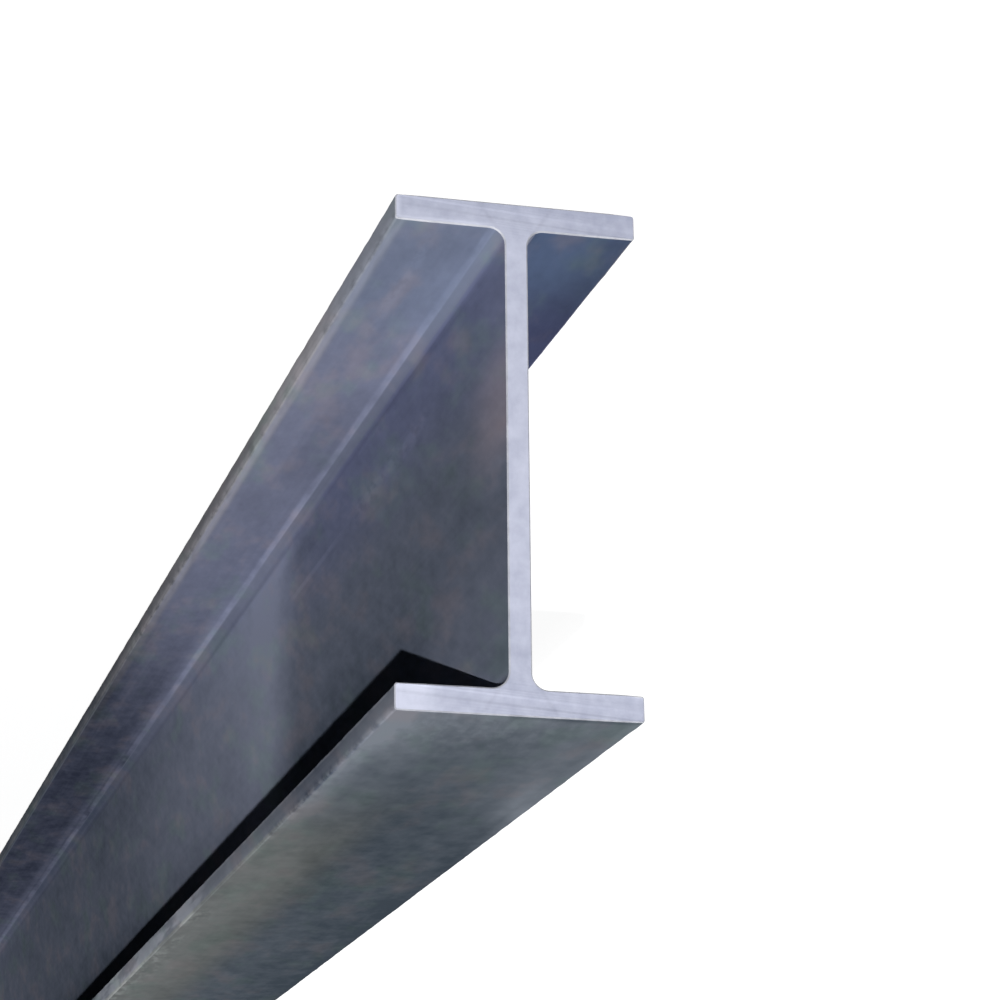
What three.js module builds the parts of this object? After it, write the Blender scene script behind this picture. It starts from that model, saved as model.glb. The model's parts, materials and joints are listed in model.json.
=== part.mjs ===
// Hot-rolled steel I-beam: one stock length of parallel-flange section, sawn square at both ends.
// Millimetres. +Z is up and +Y runs along the beam. The origin is at mid-length, under the web,
// on the face that the beam stands on.
import * as THREE from "three";

// Rolled section
const sectionHeight = 250; // over both flanges
const flangeWidth = 118;
const flangeThickness = 13;
const webThickness = 11;
const rootRadius = 8; // fillet where the web runs into a flange
const toeRadius = 1.5; // rolled corner along each flange edge

// Stock length and its sawn ends
const stockLength = 6000;
const arris = 0.5; // edge broken by the file, all round each end

// Facets
const rootSteps = 12; // per quarter turn
const toeSteps = 6;

const steel = new THREE.MeshStandardMaterial({
  name: "mill_scale_steel",
  color: "#5b6271",
  roughness: 0.5,
  metalness: 0.7,
});

// A quarter circle as points, without its first one. Its two ends are given in right angles from +X.
function quarterArc(centreX, centreY, radius, fromQuarter, toQuarter, steps) {
  const rightAngle = Math.PI / 2;
  const clockwise = toQuarter < fromQuarter;
  const arc = new THREE.EllipseCurve(
    centreX, centreY, radius, radius, fromQuarter * rightAngle, toQuarter * rightAngle, clockwise,
  );
  return arc.getPoints(steps).slice(1);
}

// The section's upper right quarter, about its centre: from the top of the web's flat, round the root
// fillet, out along the flange's inner face and round both toes onto its outer face.
function upperQuarter() {
  const halfWeb = webThickness / 2;
  const halfFlange = flangeWidth / 2;
  const outerFace = sectionHeight / 2;
  const innerFace = outerFace - flangeThickness;
  const rootX = halfWeb + rootRadius;
  const toeX = halfFlange - toeRadius;
  return [
    new THREE.Vector2(halfWeb, innerFace - rootRadius),
    ...quarterArc(rootX, innerFace - rootRadius, rootRadius, 2, 1, rootSteps),
    new THREE.Vector2(toeX, innerFace),
    ...quarterArc(toeX, innerFace + toeRadius, toeRadius, -1, 0, toeSteps),
    new THREE.Vector2(halfFlange, outerFace - toeRadius),
    ...quarterArc(toeX, outerFace - toeRadius, toeRadius, 0, 1, toeSteps),
  ];
}

// The quarter mirrored down and then across, counter-clockwise, and lifted to stand on its bottom flange.
function sectionOutline() {
  const upperRight = upperQuarter();
  const lowerRight = upperRight.map((p) => new THREE.Vector2(p.x, -p.y)).reverse();
  const rightHalf = [...lowerRight, ...upperRight];
  const leftHalf = rightHalf.map((p) => new THREE.Vector2(-p.x, p.y)).reverse();
  const standing = [...rightHalf, ...leftHalf].map((p) => new THREE.Vector2(p.x, p.y + sectionHeight / 2));
  return new THREE.Shape(standing);
}

// The section extruded over the stock length, stepping in by the arris at each end.
function rolledLength() {
  return new THREE.ExtrudeGeometry(sectionOutline(), {
    depth: stockLength - 2 * arris,
    steps: 1,
    bevelEnabled: true,
    bevelThickness: arris,
    bevelSize: arris,
    bevelOffset: -arris,
    bevelSegments: 1,
  });
}

const beam = new THREE.Mesh(rolledLength(), steel);
beam.name = "i_beam";
beam.rotation.x = Math.PI / 2; // stands the section up, and turns the extrusion to run towards -Y
beam.position.y = stockLength / 2 - arris;

const part = new THREE.Group();
part.add(beam);

export default part;
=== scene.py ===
import json
import math

import bmesh
import bpy
from mathutils import Matrix, Vector


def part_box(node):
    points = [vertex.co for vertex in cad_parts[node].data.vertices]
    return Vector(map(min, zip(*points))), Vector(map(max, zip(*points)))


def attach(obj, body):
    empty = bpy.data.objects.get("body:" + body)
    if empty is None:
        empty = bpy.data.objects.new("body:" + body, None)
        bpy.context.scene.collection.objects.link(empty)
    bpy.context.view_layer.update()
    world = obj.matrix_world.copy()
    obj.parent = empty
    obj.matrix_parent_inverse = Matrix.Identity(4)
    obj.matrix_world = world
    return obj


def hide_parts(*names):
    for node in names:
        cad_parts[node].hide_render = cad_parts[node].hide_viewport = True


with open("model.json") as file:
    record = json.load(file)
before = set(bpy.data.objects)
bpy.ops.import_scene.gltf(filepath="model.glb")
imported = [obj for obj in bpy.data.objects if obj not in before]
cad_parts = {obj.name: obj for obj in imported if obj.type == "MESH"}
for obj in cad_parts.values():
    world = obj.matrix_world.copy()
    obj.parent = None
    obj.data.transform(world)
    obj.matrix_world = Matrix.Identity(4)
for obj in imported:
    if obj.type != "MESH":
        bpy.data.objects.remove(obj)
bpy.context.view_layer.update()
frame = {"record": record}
beamLow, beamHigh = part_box("i_beam")
middle = (beamLow.z + beamHigh.z) / 2
scene = bpy.context.scene
scene.view_settings.view_transform = "Standard"


def linear(hexColour):
    # sRGB hex, as "#5b6271", to the linear colour that shaders take
    channels = [int(hexColour[i:i + 2], 16) / 255 for i in (1, 3, 5)]
    lit = [c / 12.92 if c <= 0.04045 else ((c + 0.055) / 1.055) ** 2.4 for c in channels]
    return (*lit, 1.0)


def addNode(tree, kind, settings=None, values=None, links=None):
    # a node with its own settings, its sockets' values and what is plugged into them
    node = tree.nodes.new(kind)
    for name, value in (settings or {}).items():
        setattr(node, name, value)
    for socket, value in (values or {}).items():
        node.inputs[socket].default_value = value
    for socket, source in (links or {}).items():
        tree.links.new(source, node.inputs[socket])
    return node


def emptyMaterial(name):
    material = bpy.data.materials.new(name)
    material.use_nodes = True
    material.node_tree.nodes.clear()
    return material, material.node_tree


camera = {
    "place": (0.3728, -4.3501, 0.5847),
    "aim": (0.0091, -3.0, 0.148),
    "roll": 179.5,  # degrees: held upside down, so the bottom flange is at the top of the view
    "lens": 114.4,  # mm
    "sensor": 36.0,  # mm wide
    "sees": (0.05, 400.0),  # m, nearest and furthest
}


def makeCamera():
    data = bpy.data.cameras.new("camera")
    data.lens = camera["lens"]
    data.sensor_width = camera["sensor"]
    data.clip_start, data.clip_end = camera["sees"]
    body = bpy.data.objects.new("camera", data)
    scene.collection.objects.link(body)
    place, aim = Vector(camera["place"]), Vector(camera["aim"])
    look = (aim - place).to_track_quat("-Z", "Y").to_matrix()
    roll = Matrix.Rotation(math.radians(camera["roll"]), 3, "Z")
    body.matrix_world = Matrix.Translation(place) @ (look @ roll).to_4x4()
    scene.camera = body
    print("camera set")


beam = {
    "rootRadius": 0.008,  # fillet between the web and a flange
    "rootSegments": 10,
    "toeRadius": 0.0015,
    "toeSegments": 4,
    "arris": 0.0007,  # edge broken by the file round each sawn end
    "panel": 0.013,  # widest strip left on a flat face, so that it can wave
    "longCuts": (24, 9),  # cuts along the beam: 25 bays, and then each of those in 10
    "nearCuts": 3,  # more cuts in each of those
    "nearReach": 1.7,  # within this many metres of the end at -Y
    "smoothBelow": 30,  # degrees between faces that shade as one
    # unevenness left by the rolls: depth, size and how much of the depth goes inwards
    "innerWave": (0.0003, 0.16, 0.5),
    "outerWave": (0.0002, 0.16, 1.0),
    "toeWave": (0.0005, 0.012, 1.0),
    "sawPitch": 0.0014,
    "sawDepth": 0.00004,
    "sawTilt": 4.0,  # degrees off level
}
squareOn = 0.9  # how much of a face's normal lies along the axis that it faces
shortest = 0.01  # m that an edge along the beam has at least


def mountPlace(name):
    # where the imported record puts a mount, which gives the section's flats
    mount = next(m for m in frame["record"]["mounts"] if m["name"] == name)
    return Vector(mount["pos_m"])


def selectEdges(mesh, wanted):
    bpy.ops.mesh.select_mode(type="EDGE")
    bpy.ops.mesh.select_all(action="DESELECT")
    edit = bmesh.from_edit_mesh(mesh)
    for edge in edit.edges:
        if wanted(edge.verts[0].co, edge.verts[1].co):
            edge.select_set(True)
    bmesh.update_edit_mesh(mesh)


def selectFaces(mesh, wanted):
    bpy.ops.mesh.select_mode(type="FACE")
    bpy.ops.mesh.select_all(action="DESELECT")
    edit = bmesh.from_edit_mesh(mesh)
    for face in edit.faces:
        if wanted(face.calc_center_median(), face.normal):
            face.select_set(True)
    bmesh.update_edit_mesh(mesh)


def selectCorners(mesh, wanted):
    bpy.ops.mesh.select_mode(type="VERT")
    bpy.ops.mesh.select_all(action="DESELECT")
    edit = bmesh.from_edit_mesh(mesh)
    for corner in edit.verts:
        if wanted(corner.co):
            corner.select_set(True)
    bmesh.update_edit_mesh(mesh)


def near(a, b):
    return abs(a - b) < 1e-5  # m


def runsAlong(a, b):
    return near(a.x, b.x) and near(a.z, b.z) and abs(a.y - b.y) > shortest


def evenCuts(low, high, step):
    # places that part a width into equal strips no wider than the step
    strips = math.ceil((high - low) / step)
    return [low + (high - low) * i / strips for i in range(1, strips)]


def modelBeam():
    webHalf = mountPlace("right_web_face").x
    flange = mountPlace("right_bottom_ledge").z  # thickness
    width, length, height = beamHigh - beamLow
    innerLow, innerHigh = flange, height - flange
    bodyLength = length - 2 * beam["arris"]

    bpy.ops.object.select_all(action="DESELECT")
    bpy.ops.mesh.primitive_cube_add(size=1, location=(0, 0, height / 2))
    piece = bpy.context.object
    piece.name = "rolled_i_beam"
    piece.scale = (2 * webHalf, bodyLength, height)
    bpy.ops.object.transform_apply(location=True, rotation=True, scale=True)
    mesh = piece.data

    bpy.ops.object.mode_set(mode="EDIT")
    for level in (innerLow, innerHigh):  # where the flanges leave the web
        bpy.ops.mesh.select_all(action="SELECT")
        bpy.ops.mesh.bisect(plane_co=(0, 0, level), plane_no=(0, 0, 1))
    selectFaces(mesh, lambda c, n: abs(n.x) > squareOn and not innerLow < c.z < innerHigh)
    bpy.ops.mesh.extrude_region_shrink_fatten(
        TRANSFORM_OT_shrink_fatten={"value": width / 2 - webHalf}
    )
    bpy.ops.mesh.select_all(action="SELECT")
    bpy.ops.mesh.dissolve_limited(angle_limit=math.radians(1))

    selectEdges(mesh, lambda a, b: runsAlong(a, b) and near(abs(a.x), webHalf))
    bpy.ops.mesh.bevel(offset=beam["rootRadius"], segments=beam["rootSegments"], affect="EDGES")
    selectEdges(mesh, lambda a, b: runsAlong(a, b) and near(abs(a.x), width / 2))
    bpy.ops.mesh.bevel(offset=beam["toeRadius"], segments=beam["toeSegments"], affect="EDGES")
    selectFaces(mesh, lambda c, n: abs(n.y) > squareOn)
    bpy.ops.mesh.inset(thickness=beam["arris"], depth=beam["arris"])

    # the saw's lines across both ends: every second one is cut a little deeper
    tilt = math.radians(beam["sawTilt"])
    across = Vector((math.sin(tilt), 0, math.cos(tilt)))
    halfPitch = beam["sawPitch"] / 2
    lines = math.ceil(height / halfPitch)
    for line in range(lines):
        selectFaces(mesh, lambda c, n: abs(n.y) > squareOn)
        bpy.ops.mesh.bisect(plane_co=(0, 0, (line + 0.5) * halfPitch), plane_no=across)
    for end in (-1, 1):
        def onDeepLine(p):
            line = across.dot(p) / (across.z * halfPitch) - 0.5
            onLine = abs(line - round(line)) < 0.01
            return p.y * end > bodyLength / 2 and onLine and round(line) % 2 == 1

        selectCorners(mesh, onDeepLine)
        bpy.ops.transform.translate(value=(0, -end * beam["sawDepth"], 0))

    # strips across the flat faces, and then rings along the beam
    webLow, webHigh = innerLow + beam["rootRadius"], innerHigh - beam["rootRadius"]
    for level in evenCuts(webLow, webHigh, beam["panel"]):
        selectFaces(mesh, lambda c, n: abs(n.x) > squareOn and abs(c.x) < 2 * webHalf)
        bpy.ops.mesh.bisect(plane_co=(0, 0, level), plane_no=(0, 0, 1))
    ledge = evenCuts(webHalf + beam["rootRadius"], width / 2 - beam["toeRadius"], beam["panel"])
    for place in [-x for x in ledge] + [0.0] + ledge:
        selectFaces(mesh, lambda c, n: abs(n.z) > squareOn)
        bpy.ops.mesh.bisect(plane_co=(place, 0, 0), plane_no=(1, 0, 0))
    for cuts in beam["longCuts"]:
        selectEdges(mesh, runsAlong)
        bpy.ops.mesh.subdivide(number_cuts=cuts)
    nearLimit = beamLow.y + beam["nearReach"]
    selectEdges(mesh, lambda a, b: runsAlong(a, b) and max(a.y, b.y) < nearLimit)
    bpy.ops.mesh.subdivide(number_cuts=beam["nearCuts"])

    def onToe(p):
        return abs(p.x) > width / 2 - beam["toeRadius"]

    def onOuter(p):
        return not onToe(p) and abs(p.z - height / 2) > height / 2 - flange / 2

    def onInner(p):
        return not onToe(p) and not onOuter(p)

    for name, wanted in (("innerWave", onInner), ("outerWave", onOuter), ("toeWave", onToe)):
        selectCorners(mesh, wanted)
        piece.vertex_groups.new(name=name)
        bpy.ops.object.vertex_group_assign()
    bpy.ops.object.mode_set(mode="OBJECT")
    for name in ("innerWave", "outerWave", "toeWave"):
        depth, size, inwards = beam[name]
        noise = bpy.data.textures.new(name, "CLOUDS")
        noise.noise_scale = size
        wave = piece.modifiers.new(name, "DISPLACE")
        wave.texture = noise
        wave.strength = depth
        wave.mid_level = inwards
        wave.vertex_group = name
        bpy.ops.object.modifier_apply(modifier=name)
    bpy.ops.object.shade_smooth_by_angle(angle=math.radians(beam["smoothBelow"]))
    print("beam modelled:", len(mesh.polygons), "faces")
    return piece


patterns = {  # noises: width and length in mm, and how far the length leans upwards and aside, in degrees
    "drifts": (110, 650, 0, 0),
    "clouds": (24, 96, -16, 7),
    "mottle": (6, 26, -20, 9),
    "flakes": (12, 80, 0, 0),
    "blots": (12, 17, 0, 0),
    "streaks": (3, 260, 0, 0),
}
noiseDetail = 3
noiseRoughness = 0.55

# The oxide by the kind of face, with painted light and shade in some of its changes, where their comments
# say so.
# Its tone runs from dark, 0, to light, 1, and each change adds an amount where all its fades reach 1. A fade
# is a field and the two values of it that it runs between. In metres, fromEnd is the way from the sawn end
# at -Y, across and up are X and Z, aside is the way from the web's middle, and depth the way in from the
# nearer flange's outer face.
skins = {
    "ledge": {
        "dark": "#2e3446", "light": "#a3a9c5", "tone": 0.74,
        "noise": {"drifts": 0.18, "clouds": 0.32, "mottle": 0.2, "blots": 0.1, "streaks": 0.1},
        "changes": [
            # painted shade: darker with the way from the end, as if the light fell off along the beam, up to
            # where it evens out
            (-0.16, [("fromEnd", 0.25, 0.6)]),
            (-0.44, [("fromEnd", 0.57, 1.17)]),
            (0.3, [("fromEnd", 1.6, 2.6)]),
            # the rubbed rim, with a painted highlight along it, dirty further on
            (-0.09, [("across", 0.043, 0.051), ("fromEnd", 0.66, 0.8), ("fromEnd", 1.15, 0.95)]),
            (0.25, [("across", 0.0525, 0.0565), ("fromEnd", 0.86, 0.56), ("flakes", 0.28, 0.5)]),
            # along the root: a dull strip, and two broken pale lines and a wider pale one that are painted
            # highlight
            (-0.15, [("aside", 0.043, 0.029), ("fromEnd", 0.22, 0.3), ("fromEnd", 0.45, 0.38)]),
            (0.13, [("aside", 0.0090, 0.0103), ("aside", 0.0142, 0.0122), ("clouds", 0.3, 0.56)]),
            (0.12, [("aside", 0.0090, 0.0103), ("aside", 0.0150, 0.0122), ("flakes", 0.36, 0.6)]),
            # scuffs near the end
            (0.08, [("across", 0.0315, 0.0360), ("across", 0.0420, 0.0375), ("fromEnd", 0.01, 0.04),
                ("fromEnd", 0.17, 0.11), ("mottle", 0.34, 0.56)]),
            (0.09, [("across", 0.032, 0.022), ("fromEnd", 0.03, 0.07), ("fromEnd", 0.19, 0.13)]),
            # further on, a pale strip by the root, painted highlight, and then that highlight dimmed
            (0.17, [("fromEnd", 0.55, 0.75), ("aside", 0.024, 0.0135)]),
            (-0.12, [("fromEnd", 0.95, 1.25), ("aside", 0.016, 0.013)]),
        ],
    },
    "paintedShadeLedge": {  # painted shade on the -X side near the end: darker and bluer, as in the web's shadow
        "dark": "#3c4459", "light": "#5f7090", "tone": 0.72,
        "noise": {"drifts": 0.15, "clouds": 0.35, "mottle": 0.3, "streaks": 0.1},
        "changes": [
            (-0.4, [("fromEnd", 0.02, 0.15)]),
            (-0.3, [("across", -0.03, -0.055), ("fromEnd", 0.2, 0.05)]),
        ],
    },
    "root": {
        "dark": "#444c60", "light": "#a3a9c1", "tone": 0.39,
        "noise": {"drifts": 0.16, "clouds": 0.25, "mottle": 0.12, "streaks": 0.08},
        "changes": [
            # a painted highlight near the end and again further on, painted shade beyond, darker with the
            # way from the end, and paler again from 1.6 m on
            (0.36, [("fromEnd", 0.3, 0.04)]),
            (0.14, [("fromEnd", 0.44, 0.56), ("fromEnd", 0.75, 0.65)]),
            (-0.27, [("fromEnd", 0.85, 1.35)]),
            (0.3, [("fromEnd", 1.6, 2.6)]),
            # a pale line by the web, a dark one under it, and a pale one by the ledge: the pale ones painted
            # highlight
            (0.08, [("aside", 0.0078, 0.0060), ("fromEnd", 0.25, 0.45)]),
            (-0.14, [("depth", 0.0185, 0.0207), ("fromEnd", 0.06, 0.12), ("fromEnd", 0.3, 0.18)]),
            (0.22, [("aside", 0.0088, 0.0100), ("fromEnd", 0.55, 0.7)]),
        ],
    },
    "web": {
        "dark": "#596271", "light": "#a7aec6", "tone": 0.26,
        "noise": {"drifts": 0.16, "clouds": 0.42, "mottle": 0.26, "blots": 0.12, "streaks": 0.1},
        "changes": [
            # paler towards the floor and round the end
            (0.17, [("up", 0.13, 0.04)]),
            # painted shade high on the web, under the top flange
            (-0.14, [("up", 0.13, 0.16), ("fromEnd", 0.12, 0.3)]),
            # painted light high on the web near the end, where a side lamp's shadow falls
            (0.15, [("up", 0.14, 0.18), ("fromEnd", 0.2, 0.05)]),
            (0.18, [("up", 0.15, 0.12), ("fromEnd", 0.07, 0.01)]),
            (0.2, [("up", 0.055, 0.08), ("up", 0.135, 0.105), ("fromEnd", 0.09, 0.015)]),
            # a dark line over the root
            (-0.12, [("up", 0.0175, 0.0207), ("up", 0.0275, 0.0225), ("fromEnd", 0.06, 0.12),
                ("fromEnd", 0.3, 0.18)]),
            # a scuff, broad and then thin
            (0.13, [("up", 0.046, 0.054), ("up", 0.065, 0.057), ("fromEnd", 0.12, 0.2),
                ("fromEnd", 0.37, 0.28), ("mottle", 0.3, 0.55)]),
            (0.15, [("up", 0.0545, 0.0566), ("up", 0.0605, 0.0582), ("fromEnd", 0.35, 0.41),
                ("fromEnd", 0.53, 0.48)]),
            # a dark blot and a pale one beside it
            (-0.11, [("up", 0.016, 0.024), ("up", 0.047, 0.037), ("fromEnd", 0.40, 0.44),
                ("fromEnd", 0.53, 0.50)]),
            (0.14, [("up", 0.034, 0.025), ("fromEnd", 0.41, 0.46), ("fromEnd", 0.58, 0.53)]),
            # a painted reflection: a pale patch on the web, and then painted shade, darker with the way from
            # the end, paler again from 1.6 m on
            (0.62, [("fromEnd", 0.47, 0.59)]),
            (-0.26, [("fromEnd", 0.6, 0.75)]),
            (-0.4, [("fromEnd", 0.7, 1.35)]),
            (-0.17, [("up", 0.1, 0.04), ("fromEnd", 0.68, 0.88)]),
            (0.15, [("fromEnd", 1.6, 2.6)]),
        ],
    },
    "outer": {
        "dark": "#444d57", "light": "#858c96", "tone": 0.09,
        "noise": {"drifts": 0.3, "clouds": 0.42, "mottle": 0.14, "blots": 0.34, "streaks": 0.08},
        "changes": [
            # dusty on the +X half and round the end
            (0.38, [("across", 0.0, 0.045), ("fromEnd", 0.1, 0.4)]),
            (0.36, [("fromEnd", 0.33, 0.06)]),
            (0.2, [("across", 0.022, 0.042), ("fromEnd", 0.14, 0.05)]),
            (0.55, [("across", 0.042, 0.054), ("fromEnd", 0.38, 0.05), ("clouds", 0.2, 0.65)]),
            # a pale patch by the -X edge, and the edge itself
            (0.45, [("across", -0.033, -0.049), ("fromEnd", 0.26, 0.2), ("fromEnd", 0.09, 0.19)]),
            (0.2, [("across", -0.050, -0.057), ("fromEnd", 0.36, 0.22)]),
            (-0.18, [("across", -0.049, -0.056), ("fromEnd", 0.11, 0.14), ("fromEnd", 0.2, 0.17)]),
            (0.12, [("across", -0.049, -0.056), ("fromEnd", 0.19, 0.23), ("fromEnd", 0.31, 0.27)]),
            # dabs and flecks, and the scraped +X edge; the pale flecks by the +X edge and that edge are also
            # painted highlight
            (0.16, [("fromEnd", 0.06, 0.01), ("flakes", 0.3, 0.7)]),
            (0.14, [("fromEnd", 0.11, 0.03), ("across", -0.05, 0.0), ("mottle", 0.4, 0.66)]),
            (0.42, [("across", 0.0400, 0.0565), ("fromEnd", 0.42, 0.6), ("flakes", 0.42, 0.6),
                ("mottle", 0.36, 0.58)]),
            (0.24, [("across", 0.0535, 0.0575), ("fromEnd", 0.5, 0.22), ("mottle", 0.28, 0.62)]),
            # the middle: dirty near the end and less so further on
            (-0.15, [("across", 0.034, 0.014), ("across", -0.034, -0.012), ("fromEnd", 0.02, 0.07),
                ("fromEnd", 0.32, 0.2)]),
            (-0.05, [("across", -0.046, -0.056), ("fromEnd", 0.3, 0.5)]),
            (0.06, [("across", 0.03, 0.018), ("across", -0.03, -0.012), ("fromEnd", 0.42, 0.55)]),
            # dark rims; the one along the -X edge is painted shade where the rounded corner turns from the
            # light
            (-0.2, [("fromEnd", 0.008, 0.003), ("across", 0.02, -0.02)]),
            (-0.35, [("across", -0.0574, -0.0586)]),
        ],
    },
    "topToe": {
        "dark": "#626a7b", "light": "#dbe1ee", "tone": 0.2,
        "noise": {"drifts": 0.16, "clouds": 0.2, "mottle": 0.14, "streaks": 0.14},
        "changes": [
            # rubbed bright further on, with painted glints on the bare flecks
            (0.1, [("fromEnd", 0.18, 0.42)]),
            (0.15, [("fromEnd", 0.45, 0.7), ("clouds", 0.4, 0.6)]),
            (0.42, [("fromEnd", 0.42, 0.6), ("flakes", 0.42, 0.58)]),
            # the upper rim, dimmed by painted shade against its highlight, and a dull stretch
            (-0.1, [("depth", 0.0016, 0.0006)]),
            (-0.1, [("depth", 0.0016, 0.0006), ("fromEnd", 0.22, 0.45)]),
            (-0.1, [("fromEnd", 0.09, 0.14), ("fromEnd", 0.26, 0.2)]),
            (-0.12, [("depth", 0.0055, 0.0025), ("fromEnd", 0.09, 0.15), ("fromEnd", 0.38, 0.24)]),
            # scraped edges; the upper one is also a painted highlight
            (0.24, [("fromEnd", 0.5, 0.22), ("depth", 0.0050, 0.0014), ("mottle", 0.28, 0.62)]),
            (0.2, [("depth", 0.0100, 0.0116), ("mottle", 0.3, 0.55)]),
            (0.07, [("fromEnd", 0.08, 0.0)]),
        ],
    },
    "bottomToe": {
        "dark": "#656d7a", "light": "#d8d6da", "tone": 0.1,
        "noise": {"drifts": 0.2, "clouds": 0.4, "flakes": 0.5, "mottle": 0.3, "streaks": 0.3},
        "changes": [
            # paler towards the end, above all low down, and a scraped upper edge with a dark rim
            (0.24, [("fromEnd", 0.42, 0.26)]),
            (0.26, [("fromEnd", 1.2, 0.3)]),
            (0.26, [("depth", 0.0105, 0.0060), ("fromEnd", 0.4, 0.24)]),
            (0.24, [("fromEnd", 1.1, 0.7), ("depth", 0.0070, 0.0100), ("mottle", 0.3, 0.55)]),
            (-0.2, [("depth", 0.0108, 0.0122)]),
        ],
    },
}

toeStart = beamHigh.x - 0.0016  # just inside the toes' rounded corners
toe = ("aside", toeStart, toeStart + 0.001)
regions = {  # what bounds each kind of face, over the ledge
    # the -X ledge near the end, where the painted shade lies
    "paintedShadeLedge": [("across", 0.010, -0.010), ("depth", 0.030, 0.020), ("depth", 0.002, 0.006),
        ("fromEnd", 1.4, 0.7)],
    "root": [("aside", 0.0103, 0.0092)],
    "web": [("aside", 0.0103, 0.0088), ("depth", 0.0185, 0.0245)],
    "outer": [("depth", 0.0022, 0.0012)],
    "topToe": [toe, ("up", middle - 0.01, middle + 0.01)],
    "bottomToe": [toe, ("up", middle + 0.01, middle - 0.01)],
}

casts = {  # tints: colour, strength, and the fades that bound each
    "rubbed": ("#75747a", 0.6, [("across", 0.0515, 0.0555), ("up", 0.02, 0.016), ("fromEnd", 1.3, 0.8)]),
    "cool": ("#647389", 0.35, [("across", 0.002, 0.012), ("up", 0.02, 0.016), ("fromEnd", 0.2, 0.1)]),
    "warm": ("#6d6064", 0.42, [("up", 0.055, 0.08), ("up", 0.135, 0.105), ("fromEnd", 0.09, 0.015)]),
    "violet": ("#555a78", 0.55, [("aside", 0.0066, 0.0058), ("up", 0.11, 0.04), ("fromEnd", 0.6, 0.35)]),
    # the violet of the painted shade on the -X ledge near the end
    "paintedShadePlum": ("#4c4c70", 0.5, [("across", 0.01, -0.01), ("depth", 0.03, 0.02), ("depth", 0.002, 0.006),
        ("fromEnd", 0.05, 0.14), ("fromEnd", 1.4, 0.7)]),
    "dust": ("#656763", 0.65, [("across", -0.005, 0.025), ("depth", 0.003, 0.001), ("fromEnd", 0.12, 0.35)]),
}

hueClouds = {  # faint green and brown in the oxide, by a channel of the clouds' colour
    "tints": {"Green": "#53645f", "Red": "#665d60"},
    "fade": (0.5, 0.68),
    "strength": 0.27,
}

millScale = {
    "roughness": 0.8,
    "pitSize": 1.6,  # mm: three times as coarse as the real pits, to show
    "pitDepth": 0.00006,  # m
}


def makeFields(tree):
    # what the fades can follow: distances in metres, and the noises, which lie about 0.5
    place = addNode(tree, "ShaderNodeTexCoord").outputs["Object"]
    xyz = addNode(tree, "ShaderNodeSeparateXYZ", links={0: place}).outputs
    fromEnd = addNode(tree, "ShaderNodeMath", {"operation": "SUBTRACT"}, {1: beamLow.y}, {0: xyz["Y"]})
    aside = addNode(tree, "ShaderNodeMath", {"operation": "ABSOLUTE"}, links={0: xyz["X"]})
    level = addNode(tree, "ShaderNodeMath", {"operation": "SUBTRACT"}, {1: middle}, {0: xyz["Z"]})
    aloft = addNode(tree, "ShaderNodeMath", {"operation": "ABSOLUTE"}, links={0: level.outputs[0]})
    depth = addNode(tree, "ShaderNodeMath", {"operation": "SUBTRACT"}, {0: middle}, {1: aloft.outputs[0]})
    fields = {"place": place, "across": xyz["X"], "up": xyz["Z"], "fromEnd": fromEnd.outputs[0],
        "aside": aside.outputs[0], "depth": depth.outputs[0]}
    for name, (across, along, upwards, sideways) in patterns.items():
        lean = (math.radians(upwards), 0, math.radians(sideways))
        space = addNode(tree, "ShaderNodeMapping", {"vector_type": "TEXTURE"},
            {"Rotation": lean, "Scale": (1, along / across, 1)}, {0: place}).outputs[0]
        noise = addNode(tree, "ShaderNodeTexNoise",
            values={"Scale": 1000 / across, "Detail": noiseDetail, "Roughness": noiseRoughness},
            links={"Vector": space})
        fields[name] = noise.outputs["Fac"]
        fields[name + "Hue"] = noise.outputs["Color"]
    return fields


def boundedBy(tree, fields, fades):
    # 1 where every fade has run its course, down to 0 where one hasn't begun
    mask = None
    for field, begin, end in fades:
        fade = addNode(tree, "ShaderNodeMapRange", {"interpolation_type": "SMOOTHSTEP"},
            {"From Min": begin, "From Max": end}, {"Value": fields[field]}).outputs[0]
        if mask:
            fade = addNode(tree, "ShaderNodeMath", {"operation": "MULTIPLY"},
                links={0: mask, 1: fade}).outputs[0]
        mask = fade
    return mask


def paintFace(tree, fields, look):
    # the colour of one kind of face, its tone worked out as its dictionary says
    tone = look["tone"] - 0.5 * sum(look["noise"].values())
    total = None
    for name, amount in look["noise"].items():
        values = {1: amount} if total else {1: amount, 2: tone}
        links = {0: fields[name], 2: total} if total else {0: fields[name]}
        total = addNode(tree, "ShaderNodeMath", {"operation": "MULTIPLY_ADD"}, values, links).outputs[0]
    for amount, fades in look["changes"]:
        total = addNode(tree, "ShaderNodeMath", {"operation": "MULTIPLY_ADD"}, {1: amount},
            {0: boundedBy(tree, fields, fades), 2: total}).outputs[0]
    return addNode(tree, "ShaderNodeMix", {"data_type": "RGBA"},
        {6: linear(look["dark"]), 7: linear(look["light"])}, {0: total}).outputs[2]


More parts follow.
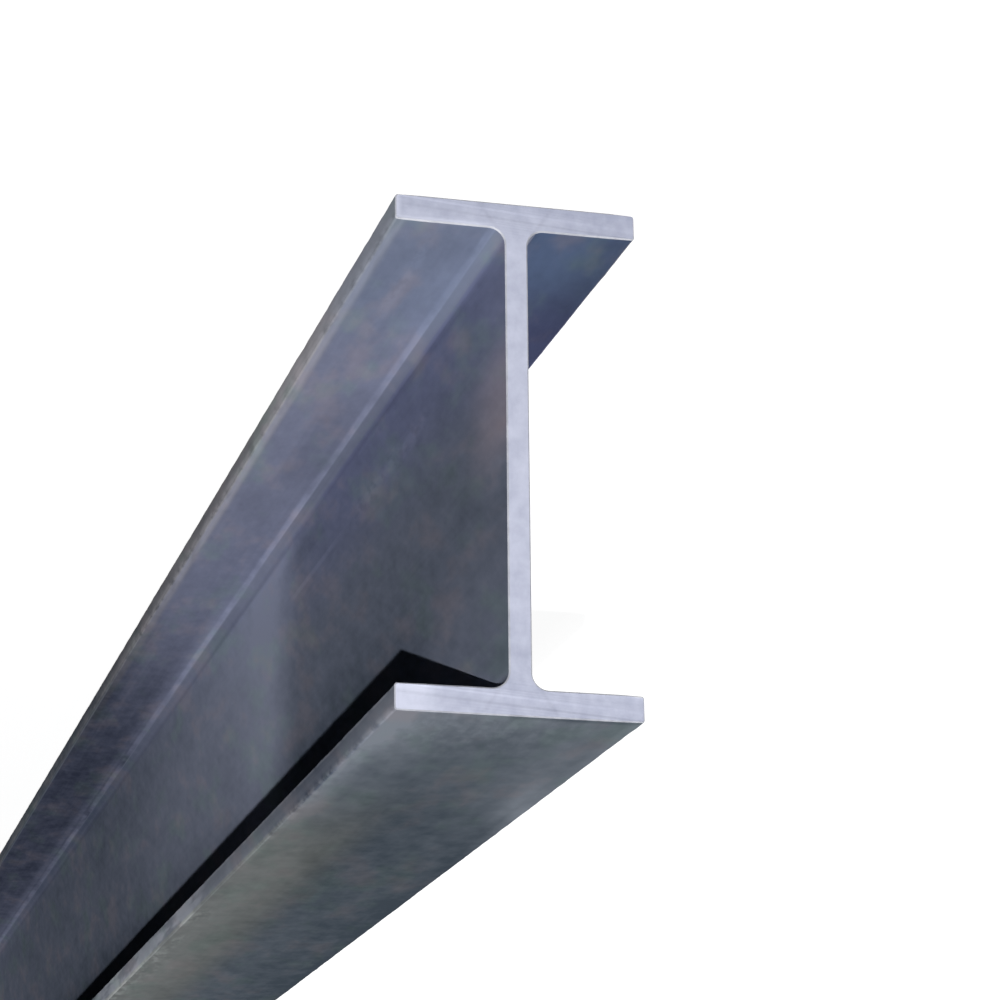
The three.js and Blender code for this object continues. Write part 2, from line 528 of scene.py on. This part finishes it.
def makeMillScale():
    # Hot-rolled steel under its own oxide: a dull blue-grey, clouded and faintly streaked along the beam.
    # It is greener and dirtier outside and rubbed paler along the toes. It carries painted highlights along
    # the root fillets and some edges, a painted reflection on the web, and painted shade: darker with the
    # way from the sawn end, high on the web under the top flange and on the -X ledge near the end. Yard dust
    # leaves it wholly matt.
    material, tree = emptyMaterial("mill_scale")
    fields = makeFields(tree)
    colour = {"data_type": "RGBA"}
    tinting = {"data_type": "RGBA", "blend_type": "COLOR"}

    skin = paintFace(tree, fields, skins["ledge"])
    for name, fades in regions.items():
        face = paintFace(tree, fields, skins[name])
        skin = addNode(tree, "ShaderNodeMix", colour,
            links={0: boundedBy(tree, fields, fades), 6: skin, 7: face}).outputs[2]

    for tint, strength, fades in casts.values():
        reach = addNode(tree, "ShaderNodeMath", {"operation": "MULTIPLY"}, {1: strength},
            {0: boundedBy(tree, fields, fades)}).outputs[0]
        skin = addNode(tree, "ShaderNodeMix", tinting, {7: linear(tint)}, {0: reach, 6: skin}).outputs[2]

    hues = addNode(tree, "ShaderNodeSeparateColor", links={0: fields["cloudsHue"]}).outputs
    begin, full = hueClouds["fade"]
    for channel, tint in hueClouds["tints"].items():
        reach = addNode(tree, "ShaderNodeMapRange", {"interpolation_type": "SMOOTHSTEP"},
            {"From Min": begin, "From Max": full, "To Max": hueClouds["strength"]},
            {"Value": hues[channel]}).outputs[0]
        skin = addNode(tree, "ShaderNodeMix", tinting, {7: linear(tint)}, {0: reach, 6: skin}).outputs[2]

    pitted = addNode(tree, "ShaderNodeTexNoise",
        values={"Scale": 1000 / millScale["pitSize"], "Detail": noiseDetail},
        links={"Vector": fields["place"]}).outputs["Fac"]
    bump = addNode(tree, "ShaderNodeBump", values={"Strength": 1.0, "Distance": millScale["pitDepth"]},
        links={"Height": pitted}).outputs[0]
    shader = addNode(tree, "ShaderNodeBsdfPrincipled",
        values={"Roughness": millScale["roughness"], "Specular IOR Level": 0},
        links={"Base Color": skin, "Normal": bump}).outputs[0]
    addNode(tree, "ShaderNodeOutputMaterial", links={"Surface": shader})
    return material


sawnSteel = {
    "dark": "#888c9e", "light": "#adb0c0", "tone": 0.5,
    "noise": {"mottle": 0.9, "clouds": 0.5},
    "changes": [
        (0.08, [("depth", 0.013, 0.02)]),
        (-0.16, [("up", 0.17, 0.225)]),
        (0.7, [("across", 0.03, 0.054), ("up", 0.2, 0.237)]),
        (-0.2, [("across", -0.01, -0.03), ("up", 0.03, 0.015)]),
        # painted highlight: pale strips along the +X edges and the bottom flange's inner edge, where they
        # catch the light
        (0.5, [("across", 0.0550, 0.0578)]),
        (0.55, [("up", 0.0102, 0.0120), ("up", 0.0140, 0.0130), ("across", 0.010, 0.02)]),
        (-0.25, [("up", 0.0105, 0.0), ("across", 0.0585, 0.057)]),
    ],
    "roughness": 0.5,
    "metallic": 0.3,
}

# lines where the metal flowed round into the flanges: aside + lean x depth = reach
flowLines = {
    "lean": 0.7,
    "reach": 0.0185,
    "halfWidth": 0.0022,
    "darkening": 0.93,
    "inFlange": (0.018, 0.012),  # depths between which they come in
}


def makeSawnSteel():
    # Bare steel from a band saw: pale, satin, faintly blotched, with the blade's lines in its shape.
    material, tree = emptyMaterial("sawn_steel")
    fields = makeFields(tree)
    face = paintFace(tree, fields, sawnSteel)
    leaning = addNode(tree, "ShaderNodeMath", {"operation": "MULTIPLY_ADD"}, {1: flowLines["lean"]},
        {0: fields["depth"], 2: fields["aside"]}).outputs[0]
    past = addNode(tree, "ShaderNodeMath", {"operation": "SUBTRACT"}, {1: flowLines["reach"]},
        {0: leaning}).outputs[0]
    away = addNode(tree, "ShaderNodeMath", {"operation": "ABSOLUTE"}, links={0: past}).outputs[0]
    shade = addNode(tree, "ShaderNodeMapRange", {"interpolation_type": "SMOOTHSTEP"},
        {"From Max": flowLines["halfWidth"], "To Min": flowLines["darkening"], "To Max": 1.0},
        {"Value": away}).outputs[0]
    inFlange = boundedBy(tree, fields, [("depth", *flowLines["inFlange"])])
    face = addNode(tree, "ShaderNodeMix", {"data_type": "RGBA", "blend_type": "MULTIPLY"},
        links={0: inFlange, 6: face, 7: shade}).outputs[2]
    shader = addNode(tree, "ShaderNodeBsdfPrincipled",
        values={"Roughness": sawnSteel["roughness"], "Metallic": sawnSteel["metallic"]},
        links={"Base Color": face}).outputs[0]
    addNode(tree, "ShaderNodeOutputMaterial", links={"Surface": shader})
    return material


filedArris = {
    "dark": "#71747f", "light": "#c2c4cc", "tone": 0.55,
    "noise": {"mottle": 0.8, "flakes": 0.5},
    "changes": [
        # painted highlight along the arris at the bottom flange's inner edge, +X side
        (0.25, [("up", 0.0105, 0.0125), ("up", 0.02, 0.0145), ("across", 0.0, 0.01)]),
        (-0.12, [("up", 0.2465, 0.2485)]),
    ],
    "roughness": 0.42,
    "metallic": 0.3,
}


def makeFiledArris():
    # The same steel where a file has broken the edge: a little smoother, with a painted highlight along the
    # arris at the bottom flange's inner edge on the +X side.
    material, tree = emptyMaterial("filed_arris")
    edge = paintFace(tree, makeFields(tree), filedArris)
    shader = addNode(tree, "ShaderNodeBsdfPrincipled",
        values={"Roughness": filedArris["roughness"], "Metallic": filedArris["metallic"]},
        links={"Base Color": edge}).outputs[0]
    addNode(tree, "ShaderNodeOutputMaterial", links={"Surface": shader})
    return material


endFacing = {"sawn": 0.95, "filed": 0.3}  # how much of a face's normal lies along the beam, at least


def finishBeam(piece):
    skin, sawn, filed = 0, 1, 2
    for material in (makeMillScale(), makeSawnSteel(), makeFiledArris()):
        piece.data.materials.append(material)
    for face in piece.data.polygons:
        facing = abs(face.normal.y)
        face.material_index = skin
        if facing > endFacing["filed"]:
            face.material_index = filed
        if facing > endFacing["sawn"]:
            face.material_index = sawn
    print("finishes made")


studio = {
    "floorSize": 300.0,
    "floorDrop": 0.0003,  # m under the beam, so that its waves don't dip into the floor
    "floorSeen": (0.77, 1.0),  # its own white, before what the lamps add: beside the beam and far off
    "farOff": (1.2, 4.0),  # m aside where the floor turns from the one to the other
    "alongCounts": 0.5,  # a metre along the beam counts as this many aside
    "floorCatch": "#bcbcbc",  # as seen, with the beam's shadow on it
    "floorBounce": "#2c2c2c",  # as it lights the beam
    "ambient": 0.005,
}


def lightPathSeen(tree):
    # 1 for what the camera, a reflection or clear glass sees
    path = addNode(tree, "ShaderNodeLightPath").outputs
    mirrored = addNode(tree, "ShaderNodeMath", {"operation": "MAXIMUM"},
        links={0: path["Is Glossy Ray"], 1: path["Is Transmission Ray"]}).outputs[0]
    return addNode(tree, "ShaderNodeMath", {"operation": "MAXIMUM"},
        links={0: path["Is Camera Ray"], 1: mirrored}).outputs[0]


def makeFloor():
    bpy.ops.object.select_all(action="DESELECT")
    level = beamLow.z - studio["floorDrop"]
    bpy.ops.mesh.primitive_plane_add(size=studio["floorSize"], location=(0, 0, level))
    floor = bpy.context.object
    floor.name = "floor"
    material, tree = emptyMaterial("studio_floor")
    place = addNode(tree, "ShaderNodeTexCoord").outputs["Object"]
    aside = addNode(tree, "ShaderNodeMapping", values={"Scale": (1, studio["alongCounts"], 1)},
        links={0: place}).outputs[0]
    away = addNode(tree, "ShaderNodeVectorMath", {"operation": "LENGTH"}, links={0: aside}).outputs["Value"]
    beside, farOff = studio["floorSeen"]
    turn, turned = studio["farOff"]
    white = addNode(tree, "ShaderNodeMapRange", {"interpolation_type": "SMOOTHSTEP"},
        {"From Min": turn, "From Max": turned, "To Min": beside, "To Max": farOff},
        {"Value": away}).outputs[0]
    glow = addNode(tree, "ShaderNodeEmission", links={"Strength": white}).outputs[0]
    catch = addNode(tree, "ShaderNodeBsdfDiffuse",
        values={"Color": linear(studio["floorCatch"])}).outputs[0]
    bounce = addNode(tree, "ShaderNodeBsdfDiffuse",
        values={"Color": linear(studio["floorBounce"])}).outputs[0]
    seen = addNode(tree, "ShaderNodeAddShader", links={0: catch, 1: glow}).outputs[0]
    either = addNode(tree, "ShaderNodeMixShader",
        links={0: lightPathSeen(tree), 1: bounce, 2: seen}).outputs[0]
    addNode(tree, "ShaderNodeOutputMaterial", links={"Surface": either})
    floor.data.materials.append(material)
    print("floor laid")


def makeSurroundings():
    world = bpy.data.worlds.new("studio")
    scene.world = world
    world.use_nodes = True
    tree = world.node_tree
    tree.nodes.clear()
    strength = addNode(tree, "ShaderNodeMapRange", values={"To Min": studio["ambient"], "To Max": 1.0},
        links={"Value": lightPathSeen(tree)}).outputs[0]
    sky = addNode(tree, "ShaderNodeBackground", values={"Color": linear("#ffffff")},
        links={"Strength": strength}).outputs[0]
    addNode(tree, "ShaderNodeOutputWorld", links={"Surface": sky})
    print("surroundings made")


# a small hard lamp that faces each end and a soft strip along each side; places and sizes in metres
lamps = {
    "frontKey": {"place": (1.664, -9.54, 2.472), "aim": (0.03, -2.9, 0.2), "size": (0.05, 0.05),
        "watts": 760.0},
    "backKey": {"place": (-1.664, 9.54, 2.472), "aim": (-0.03, 2.9, 0.2), "size": (0.05, 0.05),
        "watts": 760.0},
    "rightStrip": {"place": (1.6, 2.0, 2.53), "aim": (0, 2.0, 0.2), "size": (4.4, 0.2), "watts": 47.0},
    "leftStrip": {"place": (-1.5, -0.25, 2.6), "aim": (0, -0.25, 0.12), "size": (7.5, 0.4), "watts": 50.0},
}


def makeLamps():
    for name, lamp in lamps.items():
        light = bpy.data.lights.new(name, "AREA")
        light.shape = "RECTANGLE"
        light.size, light.size_y = lamp["size"]
        light.energy = lamp["watts"]
        body = bpy.data.objects.new(name, light)
        scene.collection.objects.link(body)
        place, aim = Vector(lamp["place"]), Vector(lamp["aim"])
        body.location = place
        body.rotation_euler = (aim - place).to_track_quat("-Z", "Y").to_euler()
        body.visible_camera = False
    print("lamps lit")


makeCamera()
piece = modelBeam()
finishBeam(piece)
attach(piece, "root")
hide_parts("i_beam")
makeFloor()
makeSurroundings()
makeLamps()
